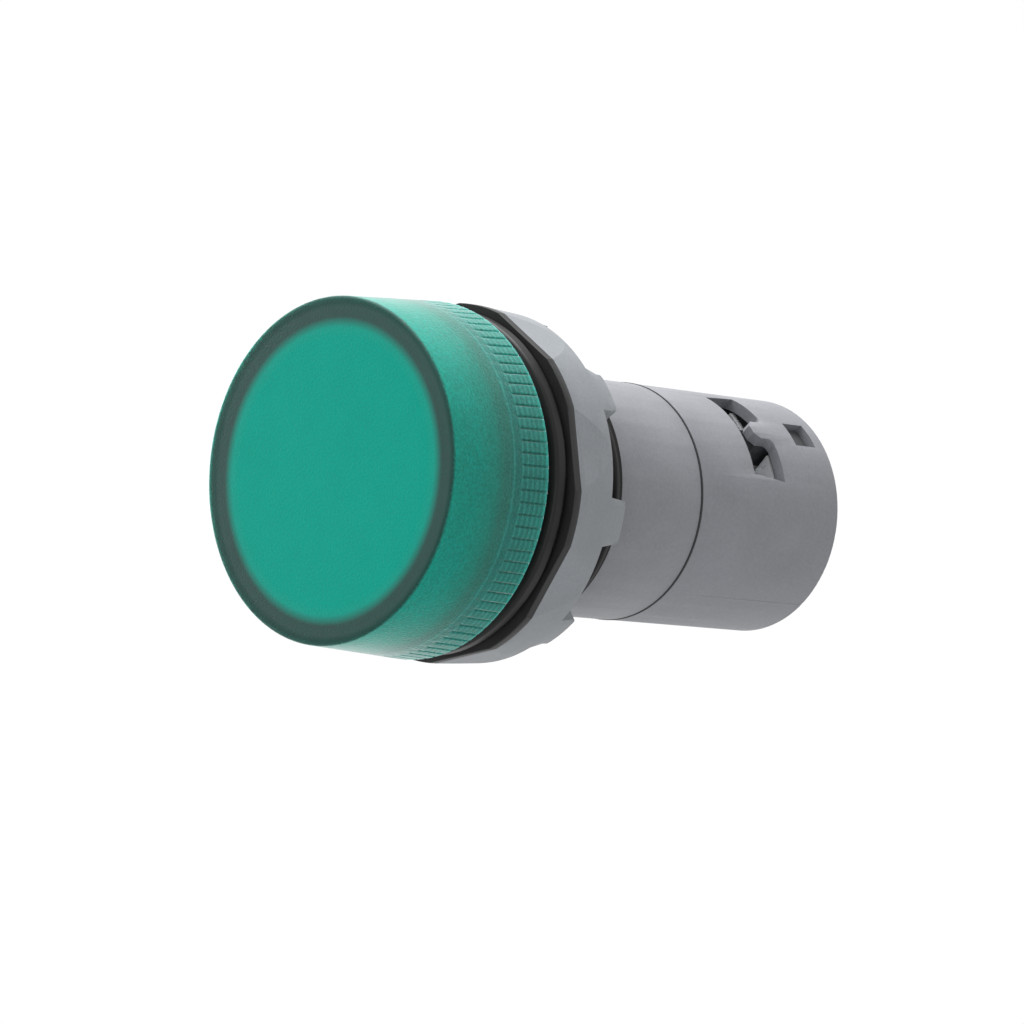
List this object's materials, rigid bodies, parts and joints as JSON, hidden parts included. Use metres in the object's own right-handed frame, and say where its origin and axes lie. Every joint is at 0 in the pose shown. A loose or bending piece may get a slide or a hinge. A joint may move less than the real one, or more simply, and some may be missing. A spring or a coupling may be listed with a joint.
{
  "type": "panel pilot light",
  "caption": "Round green panel indicator with a screw-off lens, a threaded neck with a fixing nut, and screw terminals in a cylindrical housing.",
  "frame": {"origin": "on the axis, in the plane where the panel's front face seats against the gasket", "axes": "+Y along the axis through the panel toward the terminals, so the lens looks toward -Y; +Z is the side of the wire openings"},
  "size_m": [0.0296, 0.0514, 0.0296],
  "materials": {
    "lens_green": "satin, frosted",
    "diffuser_white": "frosted",
    "seal_rubber": "matt",
    "black_plastic": "satin",
    "gasket_rubber": "satin",
    "washer_plastic": "satin",
    "nut_grey": "satin",
    "housing_grey": "fine grain",
    "ring_dark": "matt",
    "housing_grey_rear": "fine grain",
    "block_grey": "satin",
    "terminal_metal": "plated",
    "clamp_metal": "plated",
    "screw_steel": "plated",
    "reflector_white": "satin",
    "board_white": "satin",
    "led_package": "gloss",
    "board_green": "satin",
    "pin_metal": "plated",
    "resistor_blue": "gloss",
    "capacitor_sleeve": "gloss",
    "package_black": "matt",
    "absorber_blue": "gloss"
  },
  "bodies": {
    "housing": {"front_body": "black_plastic", "panel_gasket": "gasket_rubber", "lens_seal": "seal_rubber", "reflector": "reflector_white", "led_board": "board_white", "leds": "led_package", "board_pins": "pin_metal", "circuit_board": "board_green", "resistors": "resistor_blue", "capacitor": "capacitor_sleeve", "rectifier": "package_black", "surge_absorber": "absorber_blue", "housing_front": "housing_grey", "housing_seal": "ring_dark", "housing_rear": "housing_grey_rear", "terminal_block": "block_grey", "terminal_left": "terminal_metal", "terminal_right": "terminal_metal"},
    "diffuser": {"diffuser": "diffuser_white"},
    "lens": {"lens": "lens_green"},
    "washer": {"nut_washer": "washer_plastic"},
    "nut": {"panel_nut": "nut_grey"},
    "clamp_left": {"clamp_left": "clamp_metal"},
    "screw_left": {"screw_left": "screw_steel"},
    "clamp_right": {"clamp_right": "clamp_metal"},
    "screw_right": {"screw_right": "screw_steel"}
  },
  "joints": [
    {"name": "lens_travel", "type": "slide", "parent": "housing", "child": "diffuser", "axis": [0, -1, 0], "range_m": [0, 0.00375]},
    {"name": "lens_turn", "type": "hinge", "parent": "diffuser", "child": "lens", "pos_m": [0, 0, 0], "axis": [0, -1, 0], "range_deg": [0, 900]},
    {"name": "nut_travel", "type": "slide", "parent": "housing", "child": "washer", "axis": [0, 1, 0], "range_m": [0, 0.009]},
    {"name": "nut_turn", "type": "hinge", "parent": "washer", "child": "nut", "pos_m": [0, 0, 0], "axis": [0, 1, 0], "range_deg": [0, 2160]},
    {"name": "clamp_left_travel", "type": "slide", "parent": "housing", "child": "clamp_left", "axis": [0, -1, 0], "range_m": [0, 0.0018]},
    {"name": "screw_left_turn", "type": "hinge", "parent": "clamp_left", "child": "screw_left", "pos_m": [-0.0029, 0, 0.00438], "axis": [0, -1, 0], "range_deg": [0, 1440]},
    {"name": "clamp_right_travel", "type": "slide", "parent": "housing", "child": "clamp_right", "axis": [0, -1, 0], "range_m": [0, 0.0018]},
    {"name": "screw_right_turn", "type": "hinge", "parent": "clamp_right", "child": "screw_right", "pos_m": [0.0029, 0, 0.00438], "axis": [0, -1, 0], "range_deg": [0, 1440]}
  ],
  "couplings": [
    {"joint": "lens_travel", "follows": "lens_turn", "m_per_rad": 0.00023873},
    {"joint": "nut_travel", "follows": "nut_turn", "m_per_rad": 0.00023873},
    {"joint": "screw_left_turn", "follows": "clamp_left_travel", "rad_per_m": 13963},
    {"joint": "screw_right_turn", "follows": "clamp_right_travel", "rad_per_m": 13963}
  ]
}
